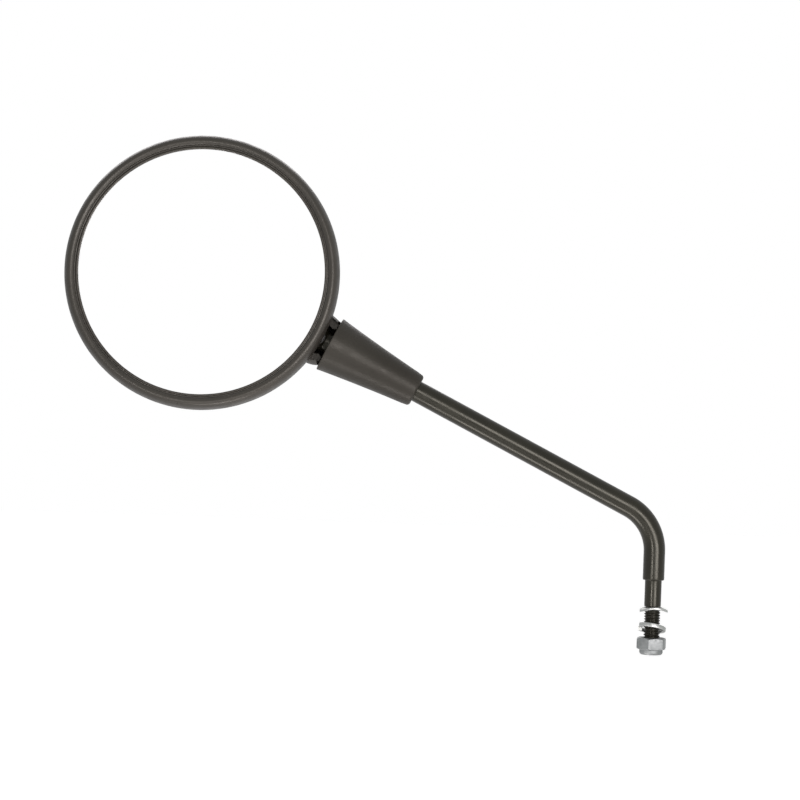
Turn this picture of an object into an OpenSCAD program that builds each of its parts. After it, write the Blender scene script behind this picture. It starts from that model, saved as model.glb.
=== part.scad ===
// Round motorcycle mirror on a bent stem, with a ball joint in the head and a threaded stud below.
// Origin: centre of the shoulder that seats on the bracket. +Z runs up the stud, the mirror faces -Y.

/* [Stem] */
// Diameter of the bent bar
stem_d = 10.3; // [9.6:0.1:10.8]
// Diameter of the smooth shank that passes through the bracket
shank_d = 8; // [7:0.1:8.4]
// Length of the smooth shank below the shoulder
shank_len = 12.6; // [10:0.1:14]
// Length of the threaded end below the smooth shank
thread_len = 18.9; // [17.5:0.1:21]
// How much the thread's crest lies inside the smooth shank, on the diameter
thread_relief = 0.2; // [0.1:0.05:0.4]
// Length of the run-out groove between the smooth shank and the thread
runout_len = 1; // [0.8:0.1:1.6]
// Depth of the run-out groove below the thread's crest
runout_depth = 0.65; // [0.4:0.05:0.8]
// Chamfer at the stud's end
stud_chamfer = 1; // [0.4:0.1:1.6]
// Chamfer round the shoulder
shoulder_chamfer = 0.4; // [0.2:0.1:0.6]
// Height of the bend's corner above the shoulder
rise_len = 28.4; // [24:0.2:60]
// Centre-line radius of the bend
bend_r = 23.8; // [16:0.2:28]
// Slope of the long arm above the horizontal, in degrees
arm_slope = 26.5; // [15:0.5:40]
// Length of the long arm, from the bend's corner to the ball's centre
arm_len = 184.4; // [150:0.2:240]
// Diameter of the ball on the arm's end
ball_d = 13; // [12.4:0.1:13.6]

/* [Boot] */
// Length of the tapered boot
boot_len = 47.3; // [38:0.1:60]
// Outer diameter at the mouth, next to the head
boot_mouth_d = 27.3; // [26.6:0.1:30]
// Outer diameter at the small end
boot_end_d = 16.2; // [15:0.1:18]
// How far the flank sags below a straight taper
boot_sag = 0.3; // [0:0.05:0.6]
// Rounding of the small end's outer edge
boot_edge_r = 1.6; // [0.4:0.1:1.8]
// Wall round the hollow
boot_wall = 1.7; // [1.2:0.1:2.2]
// Length of the bore that grips the arm
boot_grip_len = 12; // [8:0.5:18]
// Distance from the ball's centre to the mouth
boot_gap = 6.6; // [6.6:0.1:12]

/* [Head] */
// Outer diameter of the round head
head_d = 131.2; // [124:0.2:140]
// Width of the rim, from its outer edge to the opening
rim_w = 7.1; // [6.6:0.1:8]
// Height of the rim's crest above the edge of the glass
rim_rise = 2.5; // [1.6:0.1:3.5]
// Depth of the joint between rim and shell, below the edge of the glass
rim_skirt = 4.5; // [4:0.1:5]
// Depth of the shell behind the rim
shell_depth = 26; // [24:0.5:34]
// Wall of the shell
shell_wall = 2.4; // [1.8:0.1:3]
// Length of the cylindrical band of the shell before it rounds off
shell_band = 1.8; // [1:0.1:4]
// Distance of the ball's centre inside the head's outer edge
neck_inset = 3.1; // [2.4:0.1:4]
// Depth of the ball's centre behind the edge of the glass
ball_depth = 15; // [14.8:0.1:17]
// Diameter of the round neck, centred on the ball
neck_d = 26.6; // [26:0.1:27]
// Distance from the ball's centre to the neck's end face
neck_end = 6.66; // [6:0.05:7.4]
// Lean of the neck's end face towards the front, in degrees
neck_lean = 16; // [10:0.5:20]
// Length of the fairing that runs from the neck up the back of the shell
fairing_len = 44; // [36:0.5:52]
// Turn of the head about the arm, in degrees
head_turn = -3.5; // [-10:0.5:10]
// Tilt of the head towards the boot, in degrees
head_tilt = -1.9; // [-3:0.1:6]
// Swing of the head in its own plane, in degrees
head_swing = -0.4; // [-4:0.1:4]

/* [Glass] */
// Overlap of the rim's lip on the glass
lip_overlap = 1.6; // [1:0.1:2]
// Thickness of the glass
glass_t = 2.5; // [2:0.1:3]
// Radius of the convex glass
glass_curve_r = 1200; // [800:50:2000]
// Thickness of the rubber gasket under the glass
gasket_t = 0.9; // [0.6:0.1:1.2]
// Width of the gasket and of the ledge under it
ledge_w = 2.2; // [1.6:0.1:2.8]
// Thickness of the foam pad on the back of the glass
pad_t = 1; // [0.6:0.1:1.5]
// Rim of bare glass left round the foam pad
pad_margin = 6; // [4:0.5:24]

/* [Clamp] */
// Thickness of the pressed clamp plate
plate_t = 1.2; // [1:0.1:1.5]
// Radius of the clamp plate round the ball's centre
plate_r = 18; // [17.6:0.1:19]
// Height of the plate's seat above the ball's centre
plate_lift = 3; // [2.6:0.1:3.4]
// Thickness of the seat pads on the ball
seat_pad_t = 1.45; // [1.2:0.05:1.6]
// Half angle of the seat pads, in degrees
seat_pad_angle = 28; // [24:1:32]
// Largest swing of the arm in the neck's opening, in degrees
swing_max = 22; // [21:0.5:24]
// Thread diameter of the clamp screws
screw_d = 3; // [2.6:0.1:3.4]
// Length of the clamp screws below their heads
screw_len = 7; // [5.5:0.1:7.5]
// Head diameter of the clamp screws
screw_head_d = 5.6; // [5:0.1:6]
// Head height of the clamp screws
screw_head_t = 2; // [1.6:0.1:2.2]
// Thickness of the spring washers under the screw heads
screw_washer_t = 0.8; // [0.5:0.1:1]
// Distance of the two side screws from the ball's centre, towards the head's axis
side_screw_back = 6; // [5:0.1:7]
// Distance of the two side screws from the middle line
side_screw_out = 12.6; // [12.2:0.1:13]
// Distance of the inner screw from the ball's centre
inner_screw_back = 14.2; // [13.6:0.1:14.6]

/* [Hardware] */
// Outer diameter of the curved washer
curved_washer_d = 13.5; // [12.6:0.1:15]
// Bore of both washers on the stud
washer_bore_d = 9.4; // [9.2:0.05:9.6]
// Thickness of the curved washer
curved_washer_t = 1.1; // [0.6:0.1:1.2]
// Radius to which the curved washer is bent
curved_washer_bend = 15; // [10:0.1:18]
// Depth of the curved washer's crown below the shoulder
curved_washer_at = 12.7; // [12.7:0.1:13.4]
// Outer diameter of the split washer
lock_washer_d = 13.3; // [12.6:0.1:15]
// Thickness of the split washer
lock_washer_t = 1.9; // [1.4:0.1:2.2]
// Rise of the split washer from one end to the other
lock_washer_rise = 1.6; // [0.8:0.1:2]
// Gap between the split washer's ends, in degrees
lock_washer_gap = 16; // [8:1:30]
// Tilt of the split washer towards the mirror's front, as it hangs on the thread
lock_washer_pitch = 15; // [0:1:15]
// Tilt of the split washer to the side
lock_washer_roll = 7; // [0:1:7]
// Depth of the split washer's middle below the shoulder
lock_washer_at = 23.2; // [22:0.1:23.6]
// Width of the nut across its flats
nut_af = 13; // [12:0.1:14]
// Height of the nut's hexagon
nut_hex_h = 5.6; // [5:0.1:6.5]
// Height of the collar that holds the nylon ring
nut_collar_h = 2.5; // [2:0.1:3]
// Outer diameter of the collar
nut_collar_d = 11.2; // [10.4:0.1:11.6]
// Depth of the nut's upper face below the shoulder
nut_at = 27.6; // [27.4:0.1:28.5]
// Turn of the nut about the stud, in degrees
nut_turn = 14.5; // [0:0.5:60]
// Bore of the nylon ring
insert_bore_d = 7.2; // [6.8:0.1:7.4]

/* [Fits] */
// Radial clearance of the boot on the arm
boot_fit = 0.08; // [0.02:0.01:0.1]
// Radial clearance of the ball in its seat and of the pads
ball_fit = 0.05; // [0.02:0.01:0.1]
// Radial clearance of the nut on the stud
nut_fit = 0.05; // [0.02:0.01:0.1]
// Radial clearance of the rim's skirt in the shell
rim_fit = 0.1; // [0.05:0.05:0.2]
// Clearance round the edge of the glass
glass_fit = 0.2; // [0.1:0.05:0.3]
// Radial clearance of the screws in the clamp plate
screw_fit = 0.2; // [0.1:0.05:0.3]
// Radial clearance of the screws in their bosses
boss_fit = 0.03; // [0.01:0.01:0.08]

/* [Hidden] */
$fn = 96;

// A cut runs this far past a face so that it leaves no skin
past = 1;
// Points on each rounded stretch of an outline
arc_steps = 10;
// Points on the shell's domed outline
dome_steps = 24;
// Film of adhesive between the glass and its pad
pad_glue = 0.02;

turn_angle = 90 - arm_slope;
bend_tangent = bend_r * tan(turn_angle / 2);
// The bar draws in by this much on the radius in the bend
bend_thinning = 0.02;
// Full-size bar at each end runs this far into the bend
bend_lap = 0.4;
ball_r = ball_d / 2;
stem_r = stem_d / 2;
thread_d = shank_d - thread_relief;
stud_len = shank_len + thread_len;
boot_at = arm_len - boot_gap - boot_len;

head_r = head_d / 2;
open_r = head_r - rim_w;
glass_r = open_r + lip_overlap;
pocket_r = glass_r + glass_fit;
shell_in_r = head_r - shell_wall;
skirt_r = shell_in_r - rim_fit;
skirt_end = rim_skirt + shell_band;
ledge_top = glass_t + gasket_t;
neck_reach = head_r - neck_inset;
shell_round = shell_depth - shell_band;
shell_round_at = rim_skirt + shell_band;
neck_r = neck_d / 2;
// Clearance round the clamp plate's dimple
dimple_gap = 0.3;
// Clearance between the clamp plate's edge and the shell
plate_gap = 0.3;
// The clamp plate stops this far behind the rim's outer edge
plate_hidden = 0.8;
// Clearance round the clamp plate in its bay
bay_gap = 0.4;
// Clearance of the arm in the neck's mouth at full swing
arm_gap = 0.2;
// Wall round a screw hole
boss_wall = 1.9;
// Room below a screw's tip
screw_end_gap = 0.4;
// Share of the neck's radius at which the fairing leaves it
fairing_share = 0.93;
// Distance of the rim's crest inside its outer edge
crest_inset = 3.4;
// Width of the rim's thin lip and of the groove round it
lip_w = 1.15;
groove_w = 0.9;
// Heights of the lip, of the groove's floor and of the bevel's foot above the edge of the glass
lip_rise = 0.95;
groove_rise = 0.45;
bevel_foot = 1.75;
// Drop of the bevel's middle below the crest
bevel_drop = 0.2;
// Slant of the groove's walls and of the lip's inner edge, across their height
edge_draft = 0.15;
// Radius of the neck's opening towards the front
neck_open_r = 11.6;
// Play between the rim's lip and the glass
lip_gap = 0.04;
// Width and length of the screws' cross recess
slot_w = 0.7;
slot_len = 3.2;
// Cut through a spring washer, and its slant in degrees
split_gap = 0.4;
split_slant = 20;
// Play left between a washer that hangs to one side and the stud
hang_play = 0.15;
// Turn of the split washer's gap about the stud, in degrees
lock_washer_turn = 184;
// Distance by which the split washer hangs to one side
lock_washer_aside = 0.1;
// Height of the nut's corner chamfer, as a share of its width
nut_chamfer_share = 0.6;
// Lip that is crimped over the nylon ring, and the wall round it
nut_lip = 0.7;
// Depth of the nylon ring in the hexagon
insert_sink = 0.4;
// Width of the ring that the crimped lip covers
insert_cover = 0.8;

seat_r = ball_r + ball_fit;
cup_r = seat_r + seat_pad_t + ball_fit;
mouth_slope = tan(swing_max);
mouth_base_r = stem_r / cos(swing_max) + arm_gap;
plate_z = plate_lift - ball_depth;
bay_r = plate_r + bay_gap;
boss_r = screw_d / 2 + boss_wall;
insert_r = nut_collar_d / 2 - nut_lip;
// Each screw as [towards the head's axis, off the middle line], from the ball's centre
SCREWS = [[-side_screw_back, side_screw_out], [-side_screw_back, -side_screw_out], [-inner_screw_back, 0]];

// Points of a quarter ellipse from [a, 0] to [0, b], about c
function quarter(c, a, b, steps = arc_steps) =
    [for (i = [0:steps]) c + [a * cos(90 * i / steps), b * sin(90 * i / steps)]];

// Radius of the boot's flank at a share t of its length from the small end
function flank_r(t) = (boot_end_d + (boot_mouth_d - boot_end_d) * t) / 2 - 4 * boot_sag * t * (1 - t);

// Height of the convex glass face at a radius, from the plane of its edge
function glass_height(r) = (glass_r * glass_r - r * r) / (2 * glass_curve_r);

// Puts its children on the long arm, a distance up it from the bend's corner, with +Z along the arm
module on_arm(distance) {
    translate([0, 0, rise_len])
        rotate([0, -turn_angle, 0])
            translate([0, 0, distance])
                children();
}

// Puts its children in the head: +Z is the mirror's front, +X points at the ball, z = 0 is the glass edge
module in_head() {
    on_arm(arm_len)
        rotate([0, 90, 0])
            rotate([90, 0, 0])
                rotate([head_turn, 0, 0])
                    rotate([0, head_tilt, 0])
                        rotate([0, 0, head_swing])
                            translate([-neck_reach, 0, ball_depth])
                                children();
}

// Puts its children at the ball's centre inside the head
module at_ball() {
    translate([neck_reach, 0, -ball_depth])
        children();
}

// Puts its children at the ball's centre with +Z out through the neck's mouth
module at_neck() {
    at_ball()
        rotate([0, 90 - neck_lean, 0])
            children();
}

// A solid cylinder between two heights
module disc(r, low, high) {
    translate([0, 0, low])
        cylinder(r = r, h = high - low);
}

// A flat ring between two heights
module ring(outer, inner, low, high) {
    difference() {
        disc(outer, low, high);
        disc(inner, low - past, high + past);
    }
}

// A cap of a spherical shell about +Z
module shell_cap(outer, inner, half_angle) {
    arc = [for (i = [0:arc_steps]) let (a = half_angle * i / arc_steps) [sin(a), cos(a)]];
    rotate_extrude()
        polygon(concat(outer * arc, [for (i = [arc_steps:-1:0]) inner * arc[i]]));
}

// Room that the arm sweeps as it swings in the neck, opening outwards
module mouth_cone() {
    at_ball()
        rotate([0, 90, 0])
            cylinder(r1 = mouth_base_r, r2 = mouth_base_r + 2 * neck_r * mouth_slope, h = 2 * neck_r);
}

// Half space beyond the neck's end face
module past_neck_end() {
    at_neck()
        disc(2 * neck_r, neck_end, 4 * neck_r);
}

// The bar: stud, shoulder, bend, long arm and ball in one piece
module stem() {
    color([0.1, 0.1, 0.1]) {
        stud();
        disc(stem_r, shoulder_chamfer, rise_len - bend_tangent + bend_lap);
        cylinder(r1 = stem_r - shoulder_chamfer, r2 = stem_r, h = shoulder_chamfer);
        translate([-bend_r, 0, rise_len - bend_tangent])
            rotate([90, 0, 0])
                rotate_extrude(angle = turn_angle)
                    translate([bend_r, 0])
                        circle(r = stem_r - bend_thinning);
        on_arm(bend_tangent - bend_lap)
            cylinder(r = stem_r, h = arm_len - bend_tangent + bend_lap);
        on_arm(arm_len)
            sphere(r = ball_r);
    }
}

// Smooth shank and the plain blank of the threaded end
module stud() {
    disc(shank_d / 2, -shank_len, shoulder_chamfer);
    disc(thread_d / 2 - runout_depth, -shank_len - runout_len - past, past - shank_len);
    disc(thread_d / 2, stud_chamfer - stud_len, -shank_len - runout_len);
    translate([0, 0, -stud_len])
        cylinder(r1 = thread_d / 2 - stud_chamfer, r2 = thread_d / 2, h = stud_chamfer);
}

// Tapered boot that slides on the arm and hides the ball joint
module boot() {
    edge = quarter([flank_r(0) - boot_edge_r, boot_edge_r], boot_edge_r, -boot_edge_r);
    flank = [for (i = [1:arc_steps]) [flank_r(i / arc_steps), boot_len * i / arc_steps]];
    hollow = [for (i = [arc_steps:-1:1])
        let (t = (boot_grip_len + (boot_len - boot_grip_len) * i / arc_steps) / boot_len)
        [flank_r(t) - boot_wall, boot_len * t]];
    bore_r = stem_r + boot_fit;
    color([0.22, 0.21, 0.2])
        on_arm(boot_at)
            rotate_extrude()
                polygon(concat(
                    [for (i = [arc_steps:-1:0]) edge[i]],
                    flank,
                    hollow,
                    [[bore_r, boot_grip_len], [bore_r, 0]]
                ));
}

// Moulded back of the head, with the round neck, the ball's seat and the screw bosses
module back_shell() {
    color([0.2, 0.19, 0.18])
        in_head()
            difference() {
                union() {
                    pan();
                    intersection() {
                        seat_block();
                        seat_level();
                    }
                    intersection() {
                        at_ball() sphere(r = neck_r);
                        neck_side();
                    }
                }
                ball_seat();
                clamp_bay();
                mouth_cone();
                past_neck_end();
                screw_holes();
            }
}

// Outline of the shell's outer or inner face, from the open edge to the middle of the back
function pan_outline(inset) = concat(
    [[head_r - inset, -rim_skirt]],
    quarter([0, -shell_round_at], head_r - inset, inset - shell_round, dome_steps)
);

// Dished shell with the ledge that carries the gasket
module pan() {
    difference() {
        pan_solid(0);
        translate([0, 0, past])
            pan_solid(shell_wall);
        pan_solid(shell_wall);
    }
    intersection() {
        ring(glass_r, glass_r - ledge_w, -rim_skirt - shell_depth, -ledge_top);
        pan_solid_under_ledge();
    }
}

// Whole dish, filled, set in from the outer face
module pan_solid(inset) {
    rotate_extrude()
        polygon(concat([[0, -rim_skirt]], pan_outline(inset)));
}

// Space in which the ledge may stand: the filled dish and the pocket above it
module pan_solid_under_ledge() {
    union() {
        pan_solid(0);
        disc(glass_r, -rim_skirt - past, 0);
    }
}

// Solid round the ball, with the fairing up the back and the bosses
module seat_block() {
    at_ball() sphere(r = neck_r);
    at_neck()
        mirror([0, 0, 1])
            rotate_extrude()
                polygon(concat([[0, 0]], quarter([0, 0], fairing_share * neck_r, fairing_len)));
    intersection() {
        pan_solid(0);
        at_ball() {
            disc(fairing_share * neck_r, -shell_depth, 0);
            for (s = SCREWS)
                translate([s[0], s[1], 0])
                    disc(boss_r, -shell_depth, plate_lift);
        }
    }
}

// Everything below the face that carries the clamp plate
module seat_level() {
    translate([0, 0, plate_z])
        mirror([0, 0, 1])
            cylinder(r = 2 * head_r, h = 2 * shell_depth);
}

// Everything outside the shell's inner wall, below the rim's crest
module neck_side() {
    difference() {
        disc(2 * head_r, -2 * shell_depth, -glass_t / 2);
        disc(shell_in_r, -2 * shell_depth - past, past);
        ring(head_r, shell_in_r - past, -rim_skirt, past);
    }
}

// Round seat of the ball and its pads, open to the front
module ball_seat() {
    at_ball() {
        sphere(r = cup_r);
        cylinder(r = cup_r, h = plate_lift + past);
    }
}

// Room above the seat for the clamp plate and its dimple
module clamp_bay() {
    at_ball() {
        intersection() {
            disc(bay_r, plate_lift, ball_depth - ledge_top + past);
            translate([-neck_reach, 0, 0])
                disc(shell_in_r, 0, ball_depth);
        }
        disc(neck_open_r, plate_lift, ball_depth);
    }
}

// Blind holes in the bosses
module screw_holes() {
    at_ball()
        for (s = SCREWS)
            translate([s[0], s[1], 0])
                disc(screw_d / 2 + boss_fit, screw_reach() - screw_end_gap, plate_lift + past);
}

// Height of the screws' tips, from the ball's centre
function screw_reach() = plate_lift + plate_t + screw_washer_t - screw_len;

// Rim that holds the glass: round crest, groove and thin lip, with a skirt that snaps into the shell
module rim() {
    crest = head_r - crest_inset;
    outer = quarter([crest, -rim_skirt], crest_inset, rim_skirt + rim_rise);
    lip = open_r + lip_w;
    bevel = lip + groove_w;
    bevel_mid = [(crest + bevel) / 2, rim_rise - bevel_drop];
    seat_z = glass_height(open_r) + lip_gap;
    color([0.24, 0.23, 0.21])
        in_head()
            difference() {
                rotate_extrude()
                    polygon(concat(outer, [
                        bevel_mid,
                        [bevel, bevel_foot],
                        [bevel - edge_draft, groove_rise],
                        [lip, groove_rise],
                        [lip - edge_draft, lip_rise],
                        [open_r + 2 * edge_draft, lip_rise],
                        [open_r, lip_rise / 2],
                        [open_r, seat_z],
                        [pocket_r, seat_z],
                        [pocket_r, -skirt_end],
                        [skirt_r, -skirt_end],
                        [skirt_r, -rim_skirt]
                    ]));
                at_ball()
                    sphere(r = cup_r + plate_t + dimple_gap);
            }
}

// Convex mirror glass, bright on its back
module mirror_glass() {
    color([0.85, 0.88, 0.9])
        in_head()
            bent_disc(glass_r, 0, glass_t);
}

// Round sheet that follows the glass face, from one depth below it to another
module bent_disc(r, from, to) {
    rotate_extrude()
        polygon(concat(
            [for (i = [0:arc_steps]) [r * i / arc_steps, glass_height(r * i / arc_steps) - from]],
            [for (i = [arc_steps:-1:0]) [r * i / arc_steps, glass_height(r * i / arc_steps) - to]]
        ));
}

// Rubber ring between the glass and the shell's ledge
module gasket() {
    color([0.05, 0.05, 0.05])
        in_head()
            ring(glass_r, glass_r - ledge_w, -ledge_top, -glass_t);
}

// Foam disc bonded to the back of the glass
module backing_pad() {
    color([0.3, 0.3, 0.32])
        in_head()
            bent_disc(glass_r - ledge_w - pad_margin, glass_t + pad_glue, glass_t + pad_glue + pad_t);
}

// Pressed plate with a dimple that clamps the ball
module clamp_plate() {
    color([0.12, 0.12, 0.12])
        in_head()
            difference() {
                at_ball() {
                    intersection() {
                        disc(plate_r, plate_lift, plate_lift + plate_t);
                        translate([-neck_reach, 0, 0])
                            disc(shell_in_r - plate_gap, 0, ball_depth);
                    }
                    intersection() {
                        sphere(r = cup_r + plate_t);
                        disc(2 * cup_r, plate_lift, 2 * cup_r);
                        translate([-neck_reach, 0, 0])
                            disc(head_r - plate_hidden, 0, 2 * cup_r);
                    }
                }
                at_ball() {
                    sphere(r = cup_r);
                    for (s = SCREWS)
                        translate([s[0], s[1], 0])
                            disc(screw_d / 2 + screw_fit, 0, ball_depth);
                }
                mouth_cone();
            }
}

// Low-friction pad between the ball and the plate's dimple
module front_seat_pad() {
    color([0.07, 0.07, 0.07])
        in_head()
            at_ball()
                shell_cap(cup_r - ball_fit, seat_r, seat_pad_angle);
}

// Low-friction pad between the ball and the back of its seat
module rear_seat_pad() {
    color([0.07, 0.07, 0.07])
        in_head()
            at_ball()
                mirror([0, 0, 1])
                    shell_cap(cup_r - ball_fit, seat_r, seat_pad_angle);
}

// One pan-head clamp screw with a cross recess
module clamp_screw(s) {
    head_z = plate_lift + plate_t + screw_washer_t;
    slot = [slot_w, slot_len, 2 * past];
    color([0.75, 0.75, 0.78])
        in_head()
            at_ball()
                translate([s[0], s[1], 0])
                    difference() {
                        union() {
                            disc(screw_d / 2, screw_reach(), head_z + past / 2);
                            disc(screw_head_d / 2, head_z, head_z + screw_head_t / 2);
                            translate([0, 0, head_z + screw_head_t / 2])
                                cylinder(r1 = screw_head_d / 2, r2 = screw_head_d / 3, h = screw_head_t / 2);
                        }
                        for (a = [0, 90])
                            rotate([0, 0, a])
                                translate([0, 0, head_z + screw_head_t])
                                    cube(slot, center = true);
                    }
}

// One spring washer under a screw head
module screw_washer(s) {
    low = plate_lift + plate_t;
    color([0.7, 0.7, 0.72])
        in_head()
            at_ball()
                translate([s[0], s[1], 0])
                    difference() {
                        ring(screw_head_d / 2, screw_d / 2 + screw_fit, low, low + screw_washer_t);
                        translate([screw_head_d / 2, 0, low + screw_washer_t / 2])
                            rotate([split_slant, 0, 0])
                                cube([screw_head_d, split_gap, 3 * screw_washer_t], center = true);
                    }
}

// Curved spring washer, bent over the line of sight
module curved_washer() {
    slack = (washer_bore_d - thread_d) / 2 - hang_play;
    color([0.75, 0.75, 0.76])
        translate([slack, 0, -curved_washer_at])
            intersection() {
                ring(curved_washer_d / 2, washer_bore_d / 2, -curved_washer_bend, past);
                translate([0, 0, -curved_washer_bend])
                    rotate([90, 0, 0])
                        ring(curved_washer_bend, curved_washer_bend - curved_washer_t,
                            -curved_washer_d, curved_washer_d);
            }
}

// Split lock washer: one left-hand turn of a square-section helix, lying askew on the thread
module lock_washer() {
    steps = 48;
    inner = washer_bore_d / 2;
    outer = lock_washer_d / 2;
    half_t = lock_washer_t / 2;
    section = [[inner, -half_t], [outer, -half_t], [outer, half_t], [inner, half_t]];
    points = [for (i = [0:steps], p = section)
        let (a = lock_washer_gap / 2 + (360 - lock_washer_gap) * i / steps)
        [p[0] * cos(a), p[0] * sin(a), p[1] + lock_washer_rise * (0.5 - i / steps)]];
    sides = [for (i = [0:steps - 1], k = [0:3])
        [4 * i + k, 4 * i + 4 + k, 4 * i + 4 + (k + 1) % 4, 4 * i + (k + 1) % 4]];
    first = [0, 1, 2, 3];
    last = [for (k = [3:-1:0]) 4 * steps + k];
    color([0.72, 0.73, 0.73])
        translate([lock_washer_aside, 0, -lock_washer_at])
            rotate([-lock_washer_pitch, lock_washer_roll, 0])
                rotate([0, 0, lock_washer_turn])
                    polyhedron(points = points, faces = concat([first], sides, [last]), convexity = 4);
}

// Hexagon nut with a collar crimped over a nylon ring
module lock_nut() {
    corner_r = nut_af / sqrt(3);
    chamfer = nut_chamfer_share * (corner_r - nut_af / 2);
    collar_r = nut_collar_d / 2;
    collar_end = nut_hex_h + nut_collar_h;
    color([0.72, 0.74, 0.73])
        translate([0, 0, -nut_at])
            rotate([0, 0, nut_turn])
                mirror([0, 0, 1])
                    difference() {
                        union() {
                            intersection() {
                                cylinder(r = corner_r, h = nut_hex_h, $fn = 6);
                                rotate_extrude()
                                    polygon([[0, 0], [nut_af / 2, 0], [corner_r, chamfer],
                                        [corner_r, nut_hex_h - chamfer], [nut_af / 2, nut_hex_h],
                                        [0, nut_hex_h]]);
                            }
                            disc(collar_r, nut_hex_h - past, collar_end - nut_lip);
                            translate([0, 0, collar_end - nut_lip])
                                cylinder(r1 = collar_r, r2 = collar_r - nut_lip, h = nut_lip);
                        }
                        disc(thread_d / 2 + nut_fit, -past, collar_end + past);
                        disc(insert_r, nut_hex_h - insert_sink, collar_end - nut_lip);
                        disc(insert_r - insert_cover, nut_hex_h, collar_end + past);
                    }
}

// Nylon ring held by the nut's collar
module nylon_ring() {
    color([0.85, 0.88, 0.9])
        translate([0, 0, -nut_at])
            mirror([0, 0, 1])
                ring(insert_r, insert_bore_d / 2,
                    nut_hex_h - insert_sink, nut_hex_h + nut_collar_h - nut_lip);
}

stem();
boot();
back_shell();
rim();
mirror_glass();
gasket();
backing_pad();
clamp_plate();
front_seat_pad();
rear_seat_pad();
clamp_screw(SCREWS[0]);  // clamp_screw_1
clamp_screw(SCREWS[1]);  // clamp_screw_2
clamp_screw(SCREWS[2]);  // clamp_screw_3
screw_washer(SCREWS[0]);  // screw_washer_1
screw_washer(SCREWS[1]);  // screw_washer_2
screw_washer(SCREWS[2]);  // screw_washer_3
curved_washer();
lock_washer();
lock_nut();
nylon_ring();
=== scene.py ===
import bmesh
import bpy
import numpy as np
from mathutils import Matrix


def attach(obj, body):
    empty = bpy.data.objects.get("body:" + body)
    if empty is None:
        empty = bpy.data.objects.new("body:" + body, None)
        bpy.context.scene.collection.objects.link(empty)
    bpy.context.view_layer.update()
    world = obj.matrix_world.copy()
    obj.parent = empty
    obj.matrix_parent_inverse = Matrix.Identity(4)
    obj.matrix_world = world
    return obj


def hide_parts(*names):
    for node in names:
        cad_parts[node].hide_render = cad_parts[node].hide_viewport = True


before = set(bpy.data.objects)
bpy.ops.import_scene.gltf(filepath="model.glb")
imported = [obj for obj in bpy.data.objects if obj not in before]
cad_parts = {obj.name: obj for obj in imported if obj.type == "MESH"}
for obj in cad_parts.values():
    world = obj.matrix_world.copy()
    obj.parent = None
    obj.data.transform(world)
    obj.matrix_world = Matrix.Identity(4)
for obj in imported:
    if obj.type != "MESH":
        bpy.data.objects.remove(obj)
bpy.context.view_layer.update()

# Sizes down to the studio are in millimetres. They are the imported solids' own, apart from small roundings and
# what a comment names.
MM = 0.001

# Bar and stud
BAR_R = 5.15
SHANK_R = 4.0
SHANK_LEN = 12.6
STUD_LEN = 31.5
TIP_CHAMFER = 1.0
GROOVE_R = 3.25
GROOVE_LEN = 1.0
RISE = 28.4
BEND_R = 23.8
TURN = np.radians(63.5)
ARM_LEN = 184.4
BALL_R = 6.5

# How far below the ball the arm's last row of points stays
BALL_FOOT = 0.3

# Thread, which the solid doesn't have: crest and flank are shares of half a pitch, and rows are for each turn
THREAD_R = 3.9
THREAD_PITCH = 1.25
THREAD_CUT = 0.6
THREAD_CREST = 0.14
THREAD_FLANK = 0.72
THREAD_EASE = 0.06
THREAD_FADE = 0.7
THREAD_ROWS = 18

# Boot
BOOT_LEN = 47.3
BOOT_GAP = 6.6
BOOT_MOUTH_R = 13.65
BOOT_END_R = 8.1
BOOT_SAG = 0.3
BOOT_EDGE_R = 1.6
BOOT_WALL = 1.7
BOOT_GRIP = 12.0
BOOT_BORE_R = 5.23
BOOT_LIP_R = 0.35
BOOT_LIP_FOOT = 0.5
BOOT_INNER_LIP_R = 0.3

# Glass and rim. The head's radius is a hair under the solid's, so that the finer rim stays inside its facets.
GLASS_R = 60.1
GLASS_T = 2.5
GLASS_CURVE_R = 1200.0
GLASS_GROUND = 0.35
GLASS_POLE_R = 0.6
GLASS_FIT = 0.2
HEAD_R = 65.595
OPEN_R = 58.5
CREST_INSET = 3.4
RIM_RISE = 2.5
RIM_SKIRT = 4.5
SKIRT_END = 6.3
SKIRT_R = 63.1
LIP_W = 1.15
LIP_RISE = 0.95
LIP_GAP = 0.04
GROOVE_W = 0.9
GROOVE_RISE = 0.45
BEVEL_FOOT = 1.75

# Radius of the skirt's cut round the clamp plate's dimple, the height that the skirt keeps there, and the
# depth down to which the glass's pocket stays even
DIMPLE_ROOM = 9.55
SKIRT_LEAST = 0.02
EVEN_WALL = 3.0

# Place of the head on the ball, and of the side screws in it
NECK_REACH = 62.5
BALL_DEPTH = 15.0
HEAD_TURN = np.radians(-3.5)
HEAD_TILT = np.radians(-1.9)
HEAD_SWING = np.radians(-0.4)
SIDE_SCREW_X = 56.5
SIDE_SCREW_Y = 12.6
SCREW_HOLE_R = 1.53
SCREW_END_GAP = 0.4
HOLE_FLOOR = -17.4

# Where the side screws' holes end here, 1.5 mm before the solid's, and the rounding allowed in picking points
HOLE_END = -15.9
NEAR = 0.01

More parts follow.
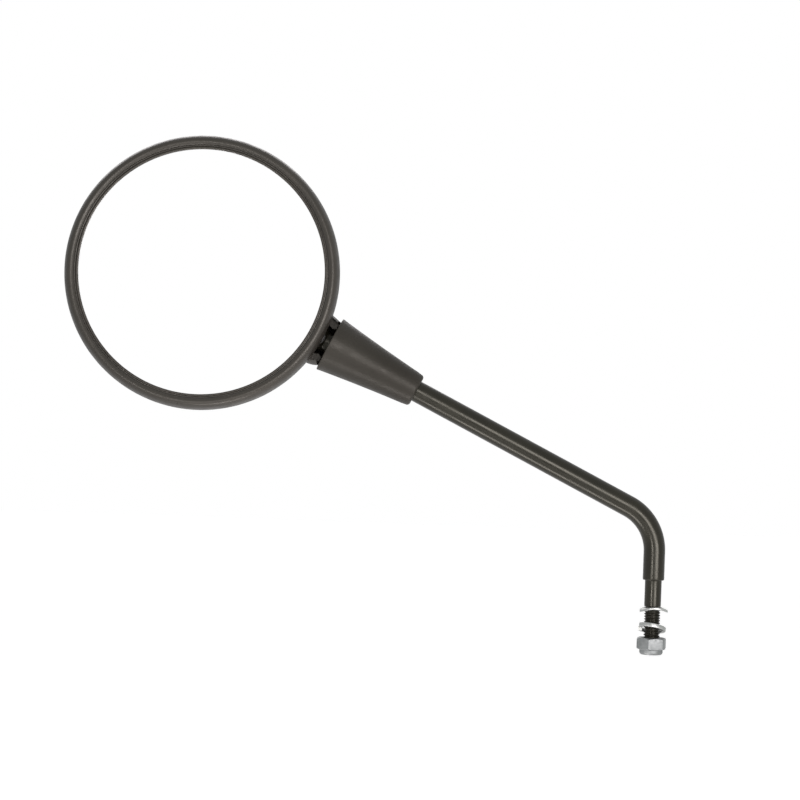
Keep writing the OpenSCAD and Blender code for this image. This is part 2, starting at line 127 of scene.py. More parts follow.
# Washers and nut
WASHER_BORE_R = 4.7
WASHER_PLAY = 0.15
CURVED_WASHER_R = 6.75
CURVED_WASHER_T = 1.1
CURVED_WASHER_SOFT = 0.22
CURVED_WASHER_BEND = 15.0
CURVED_WASHER_AT = 12.7
LOCK_WASHER_R = 6.65
LOCK_WASHER_T = 1.9
LOCK_WASHER_SOFT = 0.25
LOCK_WASHER_RISE = 1.6
LOCK_WASHER_GAP = np.radians(16)
LOCK_WASHER_TURN = np.radians(184)
LOCK_WASHER_ROLL = np.radians(7)
LOCK_WASHER_PITCH = np.radians(15)
LOCK_WASHER_ASIDE = 0.1
LOCK_WASHER_AT = 23.2
NUT_FLAT_R = 6.5
NUT_HEX_H = 5.6
NUT_CHAMFER = np.radians(26)
NUT_FACE_SHARE = 0.97
NUT_BLUNT = 0.12
NUT_EASE = 0.08
NUT_COLLAR_R = 5.6
NUT_COLLAR_H = 2.5
NUT_LIP = 0.7
NUT_FIT = 0.05
NUT_TURN = np.radians(14.5)
NUT_AT = 27.6
INSERT_SINK = 0.4
INSERT_COVER = 0.8

# Angles between faces, in degrees, above which an edge stays crisp
SHARP = 32.0
NUT_SHARP = 24.0


# Places

def turn_about(axis, angle):
    """Matrix of a turn about one of the frame's axes, 0 for X, 1 for Y, 2 for Z, by the right-hand rule."""
    c, s = np.cos(angle), np.sin(angle)
    a, b = [(1, 2), (2, 0), (0, 1)][axis]
    m = np.eye(3)
    m[a, a] = m[b, b] = c
    m[a, b], m[b, a] = -s, s
    return m


ARM = turn_about(1, -TURN)
BALL_AT = np.array([0, 0, RISE]) + ARM @ np.array([0, 0, ARM_LEN])
UPRIGHT = ARM @ turn_about(1, np.pi / 2) @ turn_about(0, np.pi / 2)
HEAD = UPRIGHT @ turn_about(0, HEAD_TURN) @ turn_about(1, HEAD_TILT) @ turn_about(2, HEAD_SWING)


def on_axis(heights):
    """Points on the z axis at the given heights."""
    return np.stack([0 * heights, 0 * heights, heights], axis=1)


def on_arm(p, distance=0):
    """Points given along the long arm, z counted up the arm from a distance beyond the bend's corner."""
    return (np.asarray(p) + [0, 0, distance]) @ ARM.T + [0, 0, RISE]


def in_head(p):
    """Points given in the head: z = 0 is the edge of the glass, +x points at the ball, +z is the front."""
    return (np.asarray(p) - [NECK_REACH, 0, -BALL_DEPTH]) @ HEAD.T + BALL_AT


# Surfaces

def around(corner, offsets):
    """Points of an outline given as (radius, height) offsets from a corner of it."""
    return np.array(corner) + np.array(offsets)


def arc(centre, radius, start, end, steps):
    """Points of a circular arc about a centre in the (radius, height) plane, angles in degrees."""
    a = np.radians(np.linspace(start, end, steps))
    return np.stack([centre[0] + radius * np.cos(a), centre[1] + radius * np.sin(a)], axis=1)


def revolve(profile, sides):
    """Turns a profile of (radius, height) pairs about z: point (i, j) is (r_i cos a_j, r_i sin a_j, h_i)."""
    a = np.arange(sides) * 2 * np.pi / sides
    r, h = np.asarray(profile, float).T
    return np.stack([np.outer(r, np.cos(a)), np.outer(r, np.sin(a)), np.outer(h, np.ones(sides))], axis=-1)


def smooth_step(x):
    """Rises from 0 to 1 as x goes from 0 to 1, level at both ends: 3x^2 - 2x^3."""
    x = np.clip(x, 0, 1)
    return x * x * (3 - 2 * x)


def row_faces(rows, cols, closed):
    """Four-sided faces between neighbouring rows of points: (i, j), (i, j+1), (i+1, j+1), (i+1, j)."""
    i = np.arange(rows if closed else rows - 1)[:, None]
    j = np.arange(cols)[None, :]
    i2, j2 = (i + 1) % rows, (j + 1) % cols
    quads = np.stack([i * cols + j, i * cols + j2, i2 * cols + j2, i2 * cols + j], axis=-1)
    return quads.reshape(-1, 4)


def show(mesh, finish, body, stands_for, sharp=SHARP):
    """Shades a mesh smooth but for its sharp edges and shows it in place of a CAD node."""
    mesh.shade_smooth()
    mesh.set_sharp_from_angle(angle=np.radians(sharp))
    mesh.materials.clear()
    mesh.materials.append(finish)
    made = bpy.data.objects.new(mesh.name, mesh)
    bpy.context.scene.collection.objects.link(made)
    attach(made, body)
    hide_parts(stands_for)


def skin(name, points, closed):
    """A mesh, in metres, of rows of points in millimetres, each row a loop.

    Where it is closed, the last row meets the first. Otherwise a fan of triangles closes the first row and
    another the last, each to a point in the row's middle.
    """
    rows, cols = points.shape[:2]
    verts = points.reshape(-1, 3)
    faces = row_faces(rows, cols, closed).tolist()
    if not closed:
        verts = np.concatenate([verts, points[[0, -1]].mean(axis=1)])
        first = np.arange(cols)
        last = first + (rows - 1) * cols
        for loop, after, middle in ((np.roll(first, -1), first, 0), (last, np.roll(last, -1), 1)):
            faces += np.stack([loop, after, np.full(cols, rows * cols + middle)], axis=1).tolist()
    mesh = bpy.data.meshes.new(name)
    mesh.from_pydata((verts * MM).tolist(), [], faces)
    return mesh


# Finishes

def shader(name, colour, rough, metal=0.0, **sockets):
    """A new material with its main shader's plain values set; returns it, its node tree and that shader."""
    made = bpy.data.materials.new(name)
    made.use_nodes = True
    main = made.node_tree.nodes["Principled BSDF"]
    main.inputs["Base Color"].default_value = (*colour, 1)
    main.inputs["Roughness"].default_value = rough
    main.inputs["Metallic"].default_value = metal
    for socket, value in sockets.items():
        main.inputs[socket.replace("_", " ")].default_value = value
    return made, made.node_tree, main


def noise(tree, scale, detail):
    """Noise that follows the piece, with about `scale` lumps per metre."""
    place = tree.nodes.new("ShaderNodeTexCoord")
    lumps = tree.nodes.new("ShaderNodeTexNoise")
    lumps.inputs["Scale"].default_value = scale
    lumps.inputs["Detail"].default_value = detail
    tree.links.new(place.outputs["Object"], lumps.inputs["Vector"])
    return lumps.outputs["Fac"]


def spread(tree, value, low, high, start=0.3, end=0.7):
    """Turns a value between start and end, such as noise, into one between low and high."""
    span = tree.nodes.new("ShaderNodeMapRange")
    span.inputs["From Min"].default_value = start
    span.inputs["From Max"].default_value = end
    span.inputs["To Min"].default_value = low
    span.inputs["To Max"].default_value = high
    tree.links.new(value, span.inputs["Value"])
    return span.outputs["Result"]


def cloudy(tree, main, noise_value, first, second):
    """Base colour that goes from one colour to another with a noise."""
    mix = tree.nodes.new("ShaderNodeMix")
    mix.data_type = "RGBA"
    mix.inputs["A"].default_value = (*first, 1)
    mix.inputs["B"].default_value = (*second, 1)
    tree.links.new(spread(tree, noise_value, 0, 1), mix.inputs["Factor"])
    tree.links.new(mix.outputs["Result"], main.inputs["Base Color"])


def uneven(tree, main, noise_value, low, high, **reach):
    """Roughness that wanders between two values with a noise."""
    tree.links.new(spread(tree, noise_value, low, high, **reach), main.inputs["Roughness"])


def bumps(tree, main, height, depth, under=None):
    """Surface relief of that depth in metres, on top of an earlier one."""
    bump = tree.nodes.new("ShaderNodeBump")
    bump.inputs["Distance"].default_value = depth
    tree.links.new(height, bump.inputs["Height"])
    if under is not None:
        tree.links.new(under, bump.inputs["Normal"])
    tree.links.new(bump.outputs["Normal"], main.inputs["Normal"])
    return bump.outputs["Normal"]


def edge_hush(tree, main, level, least):
    """Gloss that weakens towards the outline, as on a finely rough surface, from one level to a lower one."""
    gloss = main.inputs["Specular IOR Level"]
    gloss.default_value = level
    facing = tree.nodes.new("ShaderNodeLayerWeight")
    facing.inputs["Blend"].default_value = 0.5
    weaker = spread(tree, facing.outputs["Facing"], level, least, start=0.35, end=0.9)
    tree.links.new(weaker, gloss)


def moulded_plastic(name, light, dark, rough, gloss=0.22):
    """Matte moulded plastic: fine grain, cloudy shade, roughness that wanders a little."""
    made, tree, main = shader(name, light, rough, Specular_Tint=(1.0, 0.98, 0.9, 1.0))
    edge_hush(tree, main, gloss, 0.03)
    cloudy(tree, main, noise(tree, 45, detail=3), dark, light)
    uneven(tree, main, noise(tree, 220, detail=4), rough - 0.06, rough + 0.08)
    wave = bumps(tree, main, noise(tree, 260, detail=2), 0.06 * MM)
    bumps(tree, main, noise(tree, 1500, detail=4), 0.06 * MM, wave)
    return made


def gloss_paint(name, colour, rough):
    """Black paint on steel: slight orange peel, hair-fine rubbing and a few dull patches."""
    made, tree, main = shader(name, colour, rough, Specular_Tint=(1.0, 0.99, 0.86, 1.0))
    edge_hush(tree, main, 0.3, 0.1)
    cloudy(tree, main, noise(tree, 90, detail=3), colour, tuple(1.7 * c for c in colour))
    uneven(tree, main, noise(tree, 160, detail=4), rough - 0.05, rough + 0.07)
    bumps(tree, main, noise(tree, 420, detail=2), 0.006 * MM)
    return made


def zinc_plate(name, light, dark, rough):
    """Bright zinc plate: cloudy grey, faint tool marks, uneven gloss."""
    made, tree, main = shader(name, light, rough, metal=1.0)
    cloudy(tree, main, noise(tree, 380, detail=3), dark, light)
    uneven(tree, main, noise(tree, 700, detail=4), rough - 0.08, rough + 0.12)
    bumps(tree, main, noise(tree, 1800, detail=3), 0.02 * MM)
    return made


def silvering():
    """Mirror glass, bright on its back: even and clear, with the faintest haze."""
    made, tree, main = shader("mirror_silver", (1.0, 1.0, 1.0), 0.02, metal=1.0)
    uneven(tree, main, noise(tree, 60, detail=4), 0.0, 0.03, start=0.4, end=0.8)
    return made


def soft_matter(name, colour, rough, scale, depth):
    """Rubber, foam or nylon: plain colour with pores or flow marks of that depth in millimetres."""
    made, tree, main = shader(name, colour, rough)
    cloudy(tree, main, noise(tree, scale / 8, detail=3), tuple(0.8 * c for c in colour), colour)
    uneven(tree, main, noise(tree, scale / 3, detail=3), rough - 0.08, rough + 0.08)
    bumps(tree, main, noise(tree, scale, detail=3), depth * MM)
    return made


PAINT = gloss_paint("stem_paint", (0.005, 0.0045, 0.003), 0.25)
BOOT_PLASTIC = moulded_plastic("boot_plastic", (0.026, 0.024, 0.02), (0.019, 0.017, 0.014), 0.38, gloss=0.18)
SHELL_PLASTIC = moulded_plastic("shell_plastic", (0.031, 0.029, 0.025), (0.024, 0.022, 0.019), 0.4)
RIM_PLASTIC = moulded_plastic("rim_plastic", (0.029, 0.026, 0.022), (0.022, 0.02, 0.017), 0.33, gloss=0.34)
SILVER = silvering()
ZINC_NUT = zinc_plate("zinc_nut", (0.22, 0.23, 0.23), (0.165, 0.175, 0.175), 0.5)
ZINC_WASHER = zinc_plate("zinc_washer", (0.38, 0.39, 0.38), (0.28, 0.29, 0.28), 0.36)
ZINC_SCREW = zinc_plate("zinc_screw", (0.66, 0.67, 0.68), (0.55, 0.56, 0.57), 0.3)
BLACK_PLATE = gloss_paint("black_plate", (0.012, 0.012, 0.012), 0.4)
GASKET_RUBBER = soft_matter("gasket_rubber", (0.03, 0.03, 0.03), 0.7, scale=1800, depth=0.04)
FOAM = soft_matter("foam", (0.1, 0.1, 0.11), 0.9, scale=2400, depth=0.2)
ACETAL = soft_matter("seat_plastic", (0.02, 0.02, 0.02), 0.35, scale=900, depth=0.01)
NYLON = soft_matter("nylon", (0.8, 0.82, 0.84), 0.35, scale=900, depth=0.01)


# Bar

def carry_round(centres, lean, radii, sides):
    """A round bar: point j of row i is centre_i + r_ij (cos a_j (cos l_i, 0, sin l_i) + sin a_j y)."""
    a = np.arange(sides) * 2 * np.pi / sides
    across = np.stack([np.cos(lean), np.zeros_like(lean), np.sin(lean)], axis=1)
    ring = np.cos(a)[None, :, None] * across[:, None, :] + np.sin(a)[None, :, None] * np.array([0, 1.0, 0])
    return centres[:, None, :] + radii[:, :, None] * ring


def thread_r(height, angle):
    """Radius of the thread: flat crest and root, flanks about 60 degrees apart, corners eased by a sine."""
    phase = (height / THREAD_PITCH - angle / (2 * np.pi)) % 1.0
    away = np.abs(phase - 0.5) * 2
    cut = np.clip((away - THREAD_CREST) / THREAD_FLANK, 0, 1)
    return THREAD_R - THREAD_CUT * (cut - THREAD_EASE * np.sin(2 * np.pi * cut))


def shank_outline(bend_start):
    """Outline from the groove under the shank, over the shoulder and up to the bend, corners softened."""
    rows = 8
    return np.concatenate([
        around((GROOVE_R, -SHANK_LEN), [(0, 0.25 - GROOVE_LEN), (0, -0.1)]),
        around((SHANK_R, -SHANK_LEN), [(-0.5, 0), (-0.12, 0.02), (0, 0.14)]),
        around((SHANK_R, 0), [(0, -6), (0, -1.2), (0, -0.45), (0.03, -0.12), (0.12, -0.02)]),
        around((BAR_R, 0), [(-0.75, 0), (-0.42, 0.01), (-0.2, 0.1), (-0.06, 0.27), (0, 0.5), (0, 1.2)]),
        np.stack([np.full(rows, BAR_R), np.linspace(2.5, bend_start, rows)], axis=1),
    ])


def bar():
    """Stud, shoulder, bend, long arm and ball in one skin, from the stud's tip to the ball's far side."""
    sides = 96
    angle = np.arange(sides) * 2 * np.pi / sides
    groove_z = -SHANK_LEN - GROOVE_LEN
    thread_z = np.arange(-STUD_LEN, groove_z, THREAD_PITCH / THREAD_ROWS)
    fade = smooth_step((groove_z - thread_z) / THREAD_FADE)[:, None]
    threaded = GROOVE_R + (thread_r(thread_z[:, None], angle) - GROOVE_R) * fade
    threaded = np.minimum(threaded, (THREAD_R - TIP_CHAMFER + thread_z + STUD_LEN)[:, None])

    tangent = BEND_R * np.tan(TURN / 2)
    plain = shank_outline(RISE - tangent)
    swing = np.linspace(0, TURN, 49)[1:]
    bend = np.stack([BEND_R * np.cos(swing) - BEND_R, 0 * swing, BEND_R * np.sin(swing)], axis=1)
    arm_end = ARM_LEN - np.sqrt(BALL_R ** 2 - BAR_R ** 2) - BALL_FOOT
    arm = np.linspace(tangent, arm_end, 60)[1:]
    polar = np.linspace(np.arcsin(BAR_R / BALL_R), np.pi, 30)[1:-1]
    beyond = np.concatenate([arm, ARM_LEN - BALL_R * np.cos(polar)])

    upright = np.concatenate([thread_z, plain[:, 1]])
    centres = np.concatenate([on_axis(upright), bend + [0, 0, RISE - tangent], on_arm(on_axis(beyond))])
    lean = np.concatenate([0 * upright, swing, np.full(len(beyond), TURN)])
    smooth = np.concatenate([plain[:, 0], np.full(len(swing) + len(arm), BAR_R), BALL_R * np.sin(polar)])
    radii = np.concatenate([threaded, np.repeat(smooth[:, None], sides, axis=1)])
    show(skin("bent_bar", carry_round(centres, lean, radii, sides), closed=False),
         PAINT, "bar", "stem")


# Boot

def flank_r(t):
    """Radius of the boot at a share t of its length: a straight taper less a sag of 4 x sag x t (1 - t)."""
    return BOOT_END_R + (BOOT_MOUTH_R - BOOT_END_R) * t - 4 * BOOT_SAG * t * (1 - t)


def boot():
    """Tapered boot: rounded small end, slightly hollow flank, thin lip at the mouth, cone and bore inside."""
    corner = arc((BOOT_END_R - BOOT_EDGE_R, BOOT_EDGE_R), BOOT_EDGE_R, -90, 0, 10)
    t = np.linspace(0, 1, 26)
    outer = np.stack([flank_r(t), BOOT_LEN * t], axis=1)
    outer = outer[outer[:, 1] > BOOT_EDGE_R + 1]
    outer[-1, 1] -= BOOT_LIP_FOOT
    lip = arc((BOOT_MOUTH_R - BOOT_LIP_R, BOOT_LEN - BOOT_LIP_R), BOOT_LIP_R, 10, 90, 5)
    inner_r = BOOT_MOUTH_R - BOOT_WALL + BOOT_INNER_LIP_R
    edge = arc((inner_r, BOOT_LEN - BOOT_INNER_LIP_R), BOOT_INNER_LIP_R, 90, 170, 4)
    deep = np.linspace(1, BOOT_GRIP / BOOT_LEN, 14)
    inner = np.stack([flank_r(deep) - BOOT_WALL, BOOT_LEN * deep], axis=1)
    inner[0, 1] -= BOOT_INNER_LIP_R
    bore_top = around((BOOT_BORE_R, BOOT_GRIP), [(0.1, 0), (0, -0.2)])
    bore_end = around((BOOT_BORE_R, 0), [(0, 0.25), (0.2, 0)])
    points = revolve(np.concatenate([corner, outer, lip, edge, inner, bore_top, bore_end]), 128)
    show(skin("boot_sleeve", on_arm(points, ARM_LEN - BOOT_GAP - BOOT_LEN), closed=True),
         BOOT_PLASTIC, "boot", "boot")


# Head

def glass_height(r):
    """Height of the convex face above the plane of its edge: (R^2 - r^2) / (2 x curve radius)."""
    return (GLASS_R ** 2 - r ** 2) / (2 * GLASS_CURVE_R)


def rim():
    """Rim: quarter-ellipse crest, bevel that falls as the square of its width, groove, thin lip and skirt.

    The skirt's lower edge follows the ball of clearance round the clamp plate's dimple: sqrt(R^2 - d^2) above
    the ball's centre, with d the distance from the line through that centre.
    """
    crest = HEAD_R - CREST_INSET
    lip = OPEN_R + LIP_W
    bevel = lip + GROOVE_W
    pocket_r = GLASS_R + GLASS_FIT
    a = np.linspace(0, np.pi / 2, 15)
    share = np.linspace(0, 1, 8)[1:]
    top = np.concatenate([
        np.stack([crest + CREST_INSET * np.cos(a), (RIM_SKIRT + RIM_RISE) * np.sin(a) - RIM_SKIRT], axis=1),
        np.stack([crest + (bevel - crest) * share, RIM_RISE - (RIM_RISE - BEVEL_FOOT) * share ** 2], axis=1),
        around((bevel, BEVEL_FOOT), [(-0.06, -0.14)]),
        around((bevel, GROOVE_RISE), [(-0.13, 0.25), (-0.2, 0.07), (-0.35, 0)]),
        around((lip, GROOVE_RISE), [(0.14, 0), (0, 0.08)]),
        around((lip, LIP_RISE), [(-0.1, -0.13), (-0.2, -0.03), (-0.35, 0)]),
        around((OPEN_R, LIP_RISE), [(0.45, -0.02), (0.22, -0.12), (0.08, -0.28), (0.01, -LIP_RISE / 2)]),
    ])
    under = glass_height(OPEN_R) + LIP_GAP
    pocket = [(OPEN_R, under), (pocket_r, under), (pocket_r, -EVEN_WALL)]
    skirt = [(pocket_r, -SKIRT_END), (SKIRT_R, -SKIRT_END), (SKIRT_R, -RIM_SKIRT)]
    points = revolve(np.concatenate([top, pocket, skirt]), 360)
    low = len(top) + len(pocket)
    edge = points[low:low + 2]
    off = np.hypot(edge[..., 0] - NECK_REACH, edge[..., 1])
    clear = np.sqrt(np.clip(DIMPLE_ROOM ** 2 - off ** 2, 0, None)) - BALL_DEPTH
    edge[..., 2] = np.clip(clear, -SKIRT_END, -RIM_SKIRT - SKIRT_LEAST)
    show(skin("rim_ring", in_head(points), closed=True), RIM_PLASTIC, "head", "rim")


def glass():
    """Convex glass of even thickness, with a small ground edge.

    The rings close under the rim's lip keep the smooth shading of the bare face clear of that edge.
    """
    bare = np.linspace(GLASS_POLE_R, OPEN_R + 0.4, 31)
    r = np.append(bare, [OPEN_R + 0.7, GLASS_R - GLASS_GROUND])
    front = np.stack([r, glass_height(r)], axis=1)
    front_edge = around((GLASS_R, 0), [(-0.08, -0.05), (0, -GLASS_GROUND)])
    back_edge = around((GLASS_R, -GLASS_T), [(0, GLASS_GROUND), (-0.08, 0.05)])
    back = np.stack([r[::-3], glass_height(r[::-3]) - GLASS_T], axis=1)
    profile = np.concatenate([front, front_edge, back_edge, back])
    show(skin("mirror_disc", in_head(revolve(profile[::-1], 192)), closed=False),
         SILVER, "head", "mirror_glass")


def chosen(verts, wanted):
    """Those of a mesh's points whose flag is set."""
    return [v for v, hit in zip(verts, wanted) if hit]


def head_places(verts):
    """Places of a mesh's points in the head's own frame, the inverse of in_head."""
    world = np.array([v.co for v in verts]) / MM
    return (world - BALL_AT) @ HEAD + [NECK_REACH, 0, -BALL_DEPTH]


def lift_to(verts, places, level):
    """Puts points at one height in the head's frame, each at its own place across it."""
    for v, co in zip(verts, (in_head(places * [1, 1, 0] + [0, 0, level]) * MM).tolist()):
        v.co = co


def shorter_side_holes(work):
    """Ends the side screws' blind holes above the dome's skin and closes the skin where they came through it.

    A point is in a hole where (x - hole_x)^2 + (y - hole_y)^2 < r^2. The hole's rim on the dome is split, the
    hole's end moves up, and each of the two openings is filled with one face.
    """
    for hole_y in (-SIDE_SCREW_Y, SIDE_SCREW_Y):
        verts = list(work.verts)
        x, y, z = head_places(verts).T
        off = np.hypot(x - SIDE_SCREW_X, y - hole_y)
        inside = (off < SCREW_HOLE_R + NEAR) & (z > HOLE_FLOOR - NEAR)
        side = set(chosen(verts, inside & (off > SCREW_HOLE_R - NEAR)))
        bottom = set(chosen(verts, inside & (z < HOLE_FLOOR + NEAR)))
        low = set(chosen(verts, inside & (z < HOLE_END)))
        walls = {f for f in work.faces if side.issuperset(f.verts) or bottom.issuperset(f.verts)}
        border = [e for e in work.edges
                  if low.issuperset(e.verts) and len({f in walls for f in e.link_faces}) == 2]
        bmesh.ops.split_edges(work, edges=border)
        end = list({v for f in walls for v in f.verts})
        places = head_places(end)
        deep = places[:, 2] < HOLE_END
        lift_to(chosen(end, deep), places[deep], HOLE_END)
        bmesh.ops.holes_fill(work, edges=[e for e in work.edges if e.is_boundary])
    bmesh.ops.recalc_face_normals(work, faces=work.faces)


def shorter_screw(work):
    """Ends a side screw a little above its hole's end."""
    verts = list(work.verts)
    places = head_places(verts)
    tip = places[:, 2] < places[:, 2].min() + NEAR
    lift_to(chosen(verts, tip), places[tip], HOLE_END + SCREW_END_GAP)


def mended_copy(node, name, mend):
    """A copy of a CAD node's mesh with its points merged and a mend made to it."""
    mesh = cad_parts[node].data.copy()
    mesh.name = name
    work = bmesh.new()
    work.from_mesh(mesh)
    bmesh.ops.remove_doubles(work, verts=work.verts, dist=0.002 * MM)
    mend(work)
    work.to_mesh(mesh)
    work.free()
    if mesh.has_custom_normals:
        mesh.attributes.remove(mesh.attributes["custom_normal"])
    return mesh


def shell():
    """The CAD back shell with its side holes mended, its round faces shaded smooth."""
    mesh = mended_copy("back_shell", "head_shell", shorter_side_holes)
    show(mesh, SHELL_PLASTIC, "head", "back_shell")


def side_screws():
    """The two CAD screws beside the ball's bay, a little shorter."""
    for number in (1, 2):
        mesh = mended_copy(f"clamp_screw_{number}", f"side_screw_{number}", shorter_screw)
        show(mesh, ZINC_SCREW, "head", f"clamp_screw_{number}")


# Hardware

def soft_section(low_r, high_r, thick, soft):
    """Outline of a flat bar's section in (radius, height) about half its thickness, with round corners."""
    low, high, top = low_r + soft, high_r - soft, thick / 2 - soft
    corners = ((high, top, 0), (low, top, 90), (low, -top, 180), (high, -top, 270))
    return np.concatenate([arc((r, h), soft, start, start + 90, 4) for r, h, start in corners])


def curved_washer():
    """Flat ring bent over a cylinder: the section's height becomes depth under z = sqrt(bend^2 - x^2)."""
    points = revolve(soft_section(WASHER_BORE_R, CURVED_WASHER_R, CURVED_WASHER_T, CURVED_WASHER_SOFT), 144)
    depth = CURVED_WASHER_T / 2 - points[..., 2]
    points[..., 2] = np.sqrt((CURVED_WASHER_BEND - depth) ** 2 - points[..., 0] ** 2) - CURVED_WASHER_BEND
    slack = WASHER_BORE_R - THREAD_R - WASHER_PLAY
    show(skin("bowed_washer", points + [slack, 0, -CURVED_WASHER_AT], closed=True),
         ZINC_WASHER, "fastening", "curved_washer")


def lock_washer():
    """Split ring: a square section with soft corners carried round one left-hand turn, askew on the stud."""
    section = soft_section(WASHER_BORE_R, LOCK_WASHER_R, LOCK_WASHER_T, LOCK_WASHER_SOFT)
    r, h = section.T
    share = np.linspace(1, 0, 121)
    a = LOCK_WASHER_GAP / 2 + (2 * np.pi - LOCK_WASHER_GAP) * share
    height = h[None, :] + LOCK_WASHER_RISE * (0.5 - share[:, None])
    points = np.stack([np.outer(np.cos(a), r), np.outer(np.sin(a), r), height], axis=-1)
    tilt = turn_about(1, LOCK_WASHER_ROLL) @ turn_about(0, -LOCK_WASHER_PITCH)
    points = points @ turn_about(2, LOCK_WASHER_TURN).T @ tilt.T
    show(skin("split_washer", points + [LOCK_WASHER_ASIDE, 0, -LOCK_WASHER_AT], closed=False),
         ZINC_WASHER, "fastening", "lock_washer")


def lock_nut():
    """Hexagon nut with a collar below it, in rows from its upper face down outside and back up in the bore.

    Heights count down from the upper face. The hexagon's radius is the flats' over cos, and a cone from the
    face's circle cuts its corners at both ends.
    """
    sides = 180
    a = np.arange(sides) * 2 * np.pi / sides
    sixth = np.pi / 3
    hexagon = NUT_FLAT_R / np.cos(a % sixth - sixth / 2)
    hexagon = np.minimum(hexagon, NUT_FLAT_R / np.cos(sixth / 2) - NUT_BLUNT)
    face = NUT_FACE_SHARE * NUT_FLAT_R
    drop = (hexagon - face) * np.tan(NUT_CHAMFER)
    low, high = drop + NUT_EASE, NUT_HEX_H - drop - NUT_EASE
    cone = np.array([0.35, 0.7, 0.93])
    bore = THREAD_R + NUT_FIT
    insert = NUT_COLLAR_R - NUT_LIP
    collar_end = NUT_HEX_H + NUT_COLLAR_H

    outline = [*around((bore, 0), [(0, 0.5), (0.45, 0), (0.6, 0)])]
    outline += [*around((face, 0), [(-0.1, 0), (0, 0.01)])]
    outline += [(face + (hexagon - face) * s, drop * s + 0.01) for s in cone]
    outline += [(hexagon, low + (high - low) * s) for s in (0, 0.25, 0.5, 0.75, 1)]
    outline += [(face + (hexagon - face) * s, NUT_HEX_H - drop * s - 0.01) for s in cone[::-1]]
    outline += [(face, NUT_HEX_H - 0.01)]
    outline += [*around((NUT_COLLAR_R, NUT_HEX_H), [(0.35, 0), (0.12, 0.06), (0, 0.25), (0, 1.3)])]
    crimp = [(-0.08, -0.75), (-0.25, -0.4), (-0.5, -0.12), (-0.8, 0)]
    outline += [*around((NUT_COLLAR_R, collar_end), crimp)]
    outline += [*around((insert - INSERT_COVER, collar_end), [(0.05, -0.02), (0, -0.15), (0, -NUT_LIP)])]
    outline += [(insert, collar_end - NUT_LIP), (insert, NUT_HEX_H - INSERT_SINK)]
    outline += [(bore, h) for h in (NUT_HEX_H - INSERT_SINK, *np.linspace(NUT_HEX_H - 0.9, 1.0, 8))]
    rows = [np.stack([r * np.cos(a), -r * np.sin(a), 0 * a - h], axis=1) for r, h in outline]
    points = np.stack(rows) @ turn_about(2, NUT_TURN).T + [0, 0, -NUT_AT]
    show(skin("collar_nut", points, closed=True),
         ZINC_NUT, "fastening", "lock_nut", NUT_SHARP)


bar()
boot()
rim()
glass()
shell()
side_screws()
curved_washer()
lock_washer()
lock_nut()

for node, finish in (
    ("gasket", GASKET_RUBBER), ("backing_pad", FOAM), ("clamp_plate", BLACK_PLATE),
    ("front_seat_pad", ACETAL), ("rear_seat_pad", ACETAL), ("nylon_ring", NYLON),
    ("clamp_screw_3", ZINC_SCREW),
    ("screw_washer_1", ZINC_SCREW), ("screw_washer_2", ZINC_SCREW), ("screw_washer_3", ZINC_SCREW),
):
    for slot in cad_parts[node].material_slots:
        slot.material = finish


# Studio, in metres, apart from what a name says

ROLL = np.radians(2.0)
IMAGE_PX = 800
PIXEL_MM = 0.48
SHOULDER_PX = (653.4, 580.0)
DISTANCE = 1.1
SENSOR_MM = 36.0
WHITE = (1, 1, 1, 1)
PAPER = (0.92, 0.92, 0.92)
SKY_LIGHT = 0.45
FLOOR_Z = -0.3
FLOOR_HALF = 6
FLOOR_LIFT = 0.55
LAMP_COLOUR = (1.0, 0.945, 0.95)


def softbox(name, first, last, target, width, radiance):
    """A lamp whose long middle line runs between two points and whose face turns to a third.

    Its radiance is its power over pi times its area.
    """
    first, last, target = (np.array(p) for p in (first, last, target))
    middle = (first + last) / 2
    length = np.linalg.norm(last - first)
    along = (last - first) / length
    out = middle - target
    out -= along * np.dot(out, along)
    out /= np.linalg.norm(out)
    turned = Matrix(np.stack([along, np.cross(out, along), out], axis=1).tolist())
    data = bpy.data.lights.new(name, "AREA")
    data.shape = "RECTANGLE"
    data.size = length
    data.size_y = width
    data.energy = radiance * np.pi * length * width
    data.color = LAMP_COLOUR
    made = bpy.data.objects.new(name, data)
    bpy.context.scene.collection.objects.link(made)
    made.matrix_world = Matrix.Translation(middle) @ turned.to_4x4()
    made.visible_camera = False


def seen_rays(tree):
    """1 for rays that the camera, a mirror or clear matter looks along, 0 for those that carry light."""
    path = tree.nodes.new("ShaderNodeLightPath")
    value = path.outputs["Is Camera Ray"]
    for kind in ("Is Glossy Ray", "Is Transmission Ray"):
        either = tree.nodes.new("ShaderNodeMath")
        either.operation = "MAXIMUM"
        tree.links.new(value, either.inputs[0])
        tree.links.new(path.outputs[kind], either.inputs[1])
        value = either.outputs[0]
    return value


def white_room():
    """World that lights at a plain level and is seen as white."""
    world = bpy.data.worlds.new("white_room")
    bpy.context.scene.world = world
    world.use_nodes = True
    tree = world.node_tree
    back = tree.nodes["Background"]
    back.inputs["Color"].default_value = WHITE
    strength = spread(tree, seen_rays(tree), SKY_LIGHT, 1.0, start=0, end=1)
    tree.links.new(strength, back.inputs["Strength"])


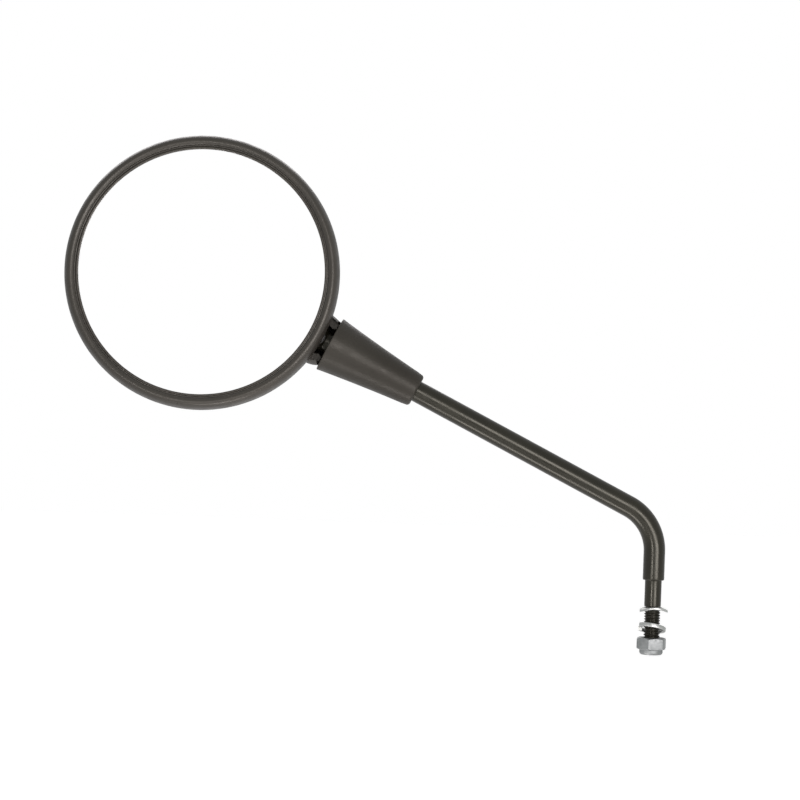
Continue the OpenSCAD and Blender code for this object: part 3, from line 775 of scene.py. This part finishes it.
def floor():
    """Pale paper under the mirror, as white as the room where nothing shades it."""
    mesh = bpy.data.meshes.new("floor")
    corners = [(x * FLOOR_HALF, y * FLOOR_HALF, FLOOR_Z) for x, y in ((-1, -1), (1, -1), (1, 1), (-1, 1))]
    mesh.from_pydata(corners, [], [(0, 1, 2, 3)])
    made = bpy.data.objects.new("floor", mesh)
    bpy.context.scene.collection.objects.link(made)
    paper, tree, main = shader("floor_paper", PAPER, 0.9, Emission_Color=WHITE)
    lift = spread(tree, seen_rays(tree), 0, FLOOR_LIFT, start=0, end=1)
    tree.links.new(lift, main.inputs["Emission Strength"])
    mesh.materials.append(paper)


def camera():
    """Camera on the photo's line of sight: square to the bar's plane, rolled so that the stud leans."""
    right = np.array([np.cos(ROLL), 0, np.sin(ROLL)])
    up = np.array([-np.sin(ROLL), 0, np.cos(ROLL)])
    off = (np.array(SHOULDER_PX) - IMAGE_PX / 2) * PIXEL_MM * MM
    middle = -right * off[0] + up * off[1]
    data = bpy.data.cameras.new("camera")
    data.sensor_width = SENSOR_MM
    data.lens = SENSOR_MM * DISTANCE / (IMAGE_PX * PIXEL_MM * MM)
    made = bpy.data.objects.new("camera", data)
    bpy.context.scene.collection.objects.link(made)
    turned = Matrix(((right[0], up[0], 0), (right[1], up[1], -1), (right[2], up[2], 0)))
    made.matrix_world = Matrix.Translation(middle + np.array([0, -DISTANCE, 0])) @ turned.to_4x4()
    bpy.context.scene.camera = made


white_room()
floor()
softbox("front_lamp", (-0.07, -1.02, 0.3), (0.58, -0.82, -0.14), (-0.05, 0, 0.04), 0.3, radiance=11.0)
softbox("left_lamp", (-0.464, -1.0, -0.18), (-0.464, -1.0, -0.03), (0, 0, -0.01), 0.2, radiance=20.0)
softbox("low_lamp", (-0.25, -0.13, -0.175), (-0.08, -0.13, -0.26), (-0.06, 0, 0.06), 0.07, radiance=10.0)
softbox("back_lamp", (-0.9, 0.75, 0.75), (0.2, 1.0, 0.75), (-0.15, 0, 0.1), 0.5, radiance=3.0)
camera()
bpy.context.scene.view_settings.view_transform = "Standard"
